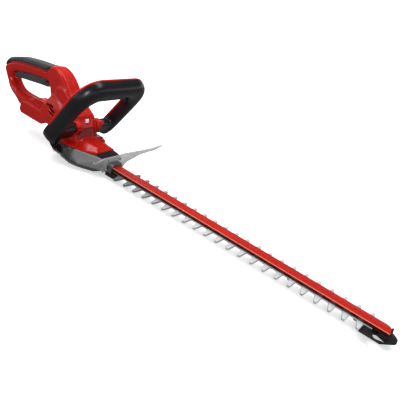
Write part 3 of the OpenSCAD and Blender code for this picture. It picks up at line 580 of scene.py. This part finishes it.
def hoop_parts():
    f = Field((-3, -99, -28), (32, 99, 151), 1.1)
    A, Y, S = f.X, f.Y, f.Z
    ay = np.abs(Y)
    low = np.clip(-S / 24.0, 0, 1.3)
    yy = ay + 9.0 * low * low
    do = -poly2(yy, S, arch(96, 148, 50, -90))
    di = poly2(yy, S, arch(64, 108, 42, -120))
    w = np.maximum((do + di) / 2, 1.0)
    q = np.abs(di - do) / 2 / w
    af = np.clip((A - 6.5) / 22.3, 0, None)
    ab = np.clip((6.5 - A) / 6.4, 0, None)
    pf, pb = 2.5, 4.0
    front = ((q ** pf + af ** pf) ** (1 / pf) - 1) * 15.0
    back = ((q ** pb + ab ** pb) ** (1 / pb) - 1) * 6.0
    # arms to the body
    arm = rint(rint(np.abs(A - 15.5) - 10.5, np.abs(S + 2.75) - 16.75, 7.0), np.abs(ay - 50.3) - 15.7, 2.5)
    stub = np.maximum(np.sqrt((A - 16.43) ** 2 + (S - 6.73) ** 2) - 9.0, np.abs(ay - 43.5) - 12.0)
    front = smin(front, arm, 7.0)
    front = np.minimum(front, stub)
    front = rint(front, -S - 24.0, 2.0)
    foot = rint(back, -S - 24.0, 2.0)
    front = rint(front, 6.62 - A, 0.7)
    front = np.minimum(front, rint(rint(foot, S - 14.0, 0.8), A - 6.7, 0.2))
    back = rint(back, 14.5 - S, 0.8)
    back = rint(back, A - 6.42, 0.5)
    room = np.maximum(np.maximum(np.abs(A - 13) - 8, ay - 41), np.abs(S - 107.25) - 11.25)
    front = cut(front, room, 0.5)
    front = np.maximum(front, -np.maximum(np.maximum(np.abs(A - 11.5) - 6.5, ay - 48), np.abs(S - 131.5) - 9.5))
    front = np.maximum(front, -np.maximum(np.maximum(np.abs(A - 11.5) - 6.5, ay - 14), np.abs(S - 126.5) - 14.5))
    back = cut(back, np.maximum(np.maximum(np.abs(A - 3) - 5.2, ay - 41), np.abs(S - 104.2) - 8.2), 0.5)
    for y, s in ((-71, 30), (71, 30), (-62, 126), (62, 126)):
        rr = np.sqrt((Y - y) ** 2 + (S - s) ** 2)
        back = cut(back, np.maximum(rr - 3.5, A - 2.6), 0.3)
        back = np.maximum(back, -np.maximum(rr - 1.7, np.abs(A) - 20))
        front = np.maximum(front, -np.maximum(rr - 1.5, A - 20))
    for name, d, mat, slot, node in (("hoop_black", front, HOOP, "black_gloss", "hoop_front"), ("hoop_red", back, RED, "red", "hoop_back")):
        v, qd = nets(d, f.lo, f.h)
        p = HO + v[:, :1] * HN + v[:, 1:2] * np.array([0, 1, 0]) + v[:, 2:] * HU
        ob = mesh_from(name, p, qd, mat)
        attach(ob, "body")
        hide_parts(node)


hoop_parts()


# ---------------------------------------------------------------- lower cover
def lower_cover():
    f = Field((-190, -62, -20), (-38, 62, 62), 1.1)
    X, Y, Z = f.X, f.Y, f.Z
    ay = np.abs(Y)
    top = both([(-184, -32), (-160, -42.3), (-132, -50.3), (-118, -50.3), (-92, -39), (-62, -26), (-42, -22)])
    mid = both([(-176, -31.5), (-148, -48.5), (-114, -55), (-90, -50), (-64, -34), (-44, -22.5)])
    bot = both([(-160, -27), (-146, -37), (-118, -42), (-98, -37), (-68, -21)])
    pts = [(x, y, z) for x, y in top for z in (17, 21.7)] + [(x, y, z) for x, y in mid for z in (-4, -1.5)] + [(x, y, z) for x, y in bot for z in (-18, -15)]
    d = hull_field(f, pts, 0.8)
    for s in (-1, 1):
        w = [(x, s * y, z) for x in (-166, -108) for y in (36, 44) for z in (-10, 19)]
        for a in (1, 28):
            for y in (64, 82):
                for t in (-30, -24.4):
                    p = HO + a * HN + t * HU
                    w.append((p[0], s * (y - 5), p[2]))
        d = smin(d, hull_field(f, w, 1.5), 2.0)
    hx, hz = (X - HO[0]), (Z - HO[2])
    ha, hs = hx * HN[0] + hz * HN[2], hx * HU[0] + hz * HU[2]
    d = np.maximum(d, -np.maximum(np.maximum(np.maximum(-24.4 - hs, np.abs(ha - 19) - 25), 34.1 - ay), hs - 60))
    gp = np.minimum(np.sqrt((X + 112) ** 2 + Y ** 2) - 37.9, np.sqrt((X + 151) ** 2 + Y ** 2) - 12.6)
    gp = np.minimum(gp, np.maximum(np.abs(X + 131.5) - 19.5, ay - 11.1))
    d = np.maximum(d, -np.maximum(gp, -11.6 - Z))
    for a in (45, 135, 225, 315):
        rr = np.sqrt((X + 112 - 36 * math.cos(math.radians(a))) ** 2 + (Y - 36 * math.sin(math.radians(a))) ** 2)
        d = np.maximum(d, -np.maximum(rr - 4.2, np.abs(Z + 6.6) - 5))
    d = np.maximum(d, -bx(f, (-90, -16.5, -9.6), (-30, 16.5, 30)))
    d = np.maximum(d, -np.maximum(poly2(X, Y, both([(-176, -27), (-160, -37), (-132, -45), (-118, -45), (-92, -34), (-78, -26)])), -8 - Z))
    d = cut(d, np.maximum(np.maximum(np.maximum(21.85 - Z, Z - 25), np.abs(X + 150) - 50), ay - 51.5), 0.4)
    d = np.maximum(d, -np.maximum(poly2(X, Z, [(-200, 21.85), (-200, 40), (-186, 31.5), (-176, 21.85)]), ay - 40))
    rr = np.sqrt((X + 141) ** 2 + (ay - 38) ** 2)
    d = np.minimum(d, np.maximum(rr - 5.5, np.abs(Z - 4.85) - 16.8))
    d = np.maximum(d, -np.maximum(rr - 3.6, Z + 12.4))
    d = np.maximum(d, -(rr - 2))
    d = np.maximum(d, -np.maximum(poly2(X, Z, BODY), 21.85 - Z))
    v, q = nets(d, f.lo, f.h)
    ob = mesh_from("under_cover", v, q, COVER)
    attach(ob, "body")
    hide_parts("lower_cover")


lower_cover()


# ---------------------------------------------------------------- edge-rounded pieces from the CAD shapes
def softened(node, name, width, mat, body="body", seg=2, angle=32):
    me = NODES[node].data.copy()
    me.name = name
    bm = bmesh.new()
    bm.from_mesh(me)
    bmesh.ops.remove_doubles(bm, verts=bm.verts, dist=2e-6)
    bmesh.ops.dissolve_limit(bm, angle_limit=math.radians(1.5), verts=bm.verts, edges=bm.edges)
    bm.to_mesh(me)
    bm.free()
    me.materials.clear()
    me.materials.append(mat)
    ob = bpy.data.objects.new(name, me)
    scene.collection.objects.link(ob)
    mod = ob.modifiers.new("round", "BEVEL")
    mod.width = width / 1000
    mod.segments = seg
    mod.limit_method = "ANGLE"
    mod.angle_limit = math.radians(angle)
    mod.miter_outer = "MITER_ARC"
    mod.use_clamp_overlap = True
    dg = bpy.context.evaluated_depsgraph_get()
    done = bpy.data.meshes.new_from_object(ob.evaluated_get(dg))
    ob.modifiers.clear()
    ob.data = done
    done.shade_smooth()
    done.set_sharp_from_angle(angle=math.radians(38))
    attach(ob, body)
    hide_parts(node)
    return ob


softened("trigger", "trigger_lever", 2.6, TRIG, "trigger", 4)
softened("nose_cover", "nose_block", 1.0, BLACK, seg=3, angle=20)
softened("blade_clamp", "clamp_block", 0.6, BLACK)
softened("bar_bracket", "steel_bracket", 0.5, BRACKET)
softened("hand_guard", "clear_guard", 0.5, SMOKE, angle=40)
softened("front_switch_bar", "switch_bar", 1.2, TRIG, "front_bar", 3)
softened("upper_blade", "blade_top", 0.35, BLADE, "upper")
softened("lower_blade", "blade_bottom", 0.35, BLADE, "lower")
softened("blade_cover", "bar_cover", 0.7, RED_BAR, seg=3, angle=25)
softened("tip_protector", "tip_guard", 0.7, TIP, seg=3)
softened("badge_plate", "badge_blank", 0.25, BADGE)


# ---------------------------------------------------------------- floor and light
def floor():
    bm = bmesh.new()
    n, r = 128, 60.0
    ring = [bm.verts.new((r * math.cos(2 * math.pi * i / n), r * math.sin(2 * math.pi * i / n), 0)) for i in range(n)]
    bm.faces.new(ring)
    me = bpy.data.meshes.new("studio_floor")
    bm.to_mesh(me)
    bm.free()
    m, nt, nodes, links, p = new_mat("pale_floor")
    tc = nodes.new("ShaderNodeTexCoord").outputs["Object"]
    f = noise(nodes, links, tc, 3, 2.0)
    links.new(mixrgb(nodes, links, f, (0.90, 0.90, 0.90), (0.92, 0.92, 0.92)), p.inputs["Base Color"])
    p.inputs["Roughness"].default_value = 0.9
    p.inputs["Specular IOR Level"].default_value = 0.1
    p.inputs["Emission Color"].default_value = (1, 1, 1, 1)
    p.inputs["Emission Strength"].default_value = 0.42
    me.materials.append(m)
    ob = bpy.data.objects.new("studio_floor", me)
    scene.collection.objects.link(ob)
    ob.visible_glossy = False
    ob.visible_diffuse = False


floor()


def area(name, at, to, size, power, size_y=None, col=(1, 1, 1)):
    d = bpy.data.lights.new(name, "AREA")
    d.energy = power
    d.size = size
    d.color = col
    if size_y:
        d.shape = "RECTANGLE"
        d.size_y = size_y
    o = bpy.data.objects.new(name, d)
    o.location = at
    o.rotation_euler = (Vector(to) - Vector(at)).to_track_quat("-Z", "Y").to_euler()
    scene.collection.objects.link(o)


def sun(name, toward, strength, angle):
    d = bpy.data.lights.new(name, "SUN")
    d.energy, d.angle = strength, math.radians(angle)
    o = bpy.data.objects.new(name, d)
    o.rotation_euler = Vector(toward).to_track_quat("Z", "Y").to_euler()
    scene.collection.objects.link(o)


sun("sky_soft", (-0.28, 0.38, 0.9), 2.9, 85)
bpy.data.objects["sky_soft"].visible_glossy = False
area("key_front", (0.66, -1.22, 0.72), (-0.18, 0, 0.05), 0.40, 9, 0.40)
area("front_strip", (-0.95, -1.25, 0.95), (-0.25, 0, 0.1), 0.18, 6, 1.3)
area("top_strip", (-0.15, 0.22, 1.2), (-0.15, 0, 0.1), 2.0, 9, 0.14)

w = bpy.data.worlds.new("studio")
scene.world = w
w.use_nodes = True
wn, wl = w.node_tree.nodes, w.node_tree.links
bg = wn["Background"]
tc = wn.new("ShaderNodeTexCoord")
sep = wn.new("ShaderNodeSeparateXYZ")
wl.new(tc.outputs["Generated"], sep.inputs[0])
ramp = wn.new("ShaderNodeMapRange")
ramp.inputs[1].default_value, ramp.inputs[2].default_value = 0.11, 0.27
ramp.inputs[3].default_value, ramp.inputs[4].default_value = 1.1, 0.12
wl.new(sep.outputs[2], ramp.inputs[0])
below = wn.new("ShaderNodeMapRange")
below.inputs[1].default_value, below.inputs[2].default_value = -0.10, -0.02
below.inputs[3].default_value, below.inputs[4].default_value = 0.19, 1.0
wl.new(sep.outputs[2], below.inputs[0])
both_z = wn.new("ShaderNodeMath")
both_z.operation = "MULTIPLY"
wl.new(ramp.outputs[0], both_z.inputs[0])
wl.new(below.outputs[0], both_z.inputs[1])
bg.inputs[0].default_value = (0.98, 0.99, 1.0, 1)
wl.new(both_z.outputs[0], bg.inputs[1])
scene.view_settings.view_transform = "Standard"
scene.view_settings.look = "None"
scene.view_settings.exposure = 0.0
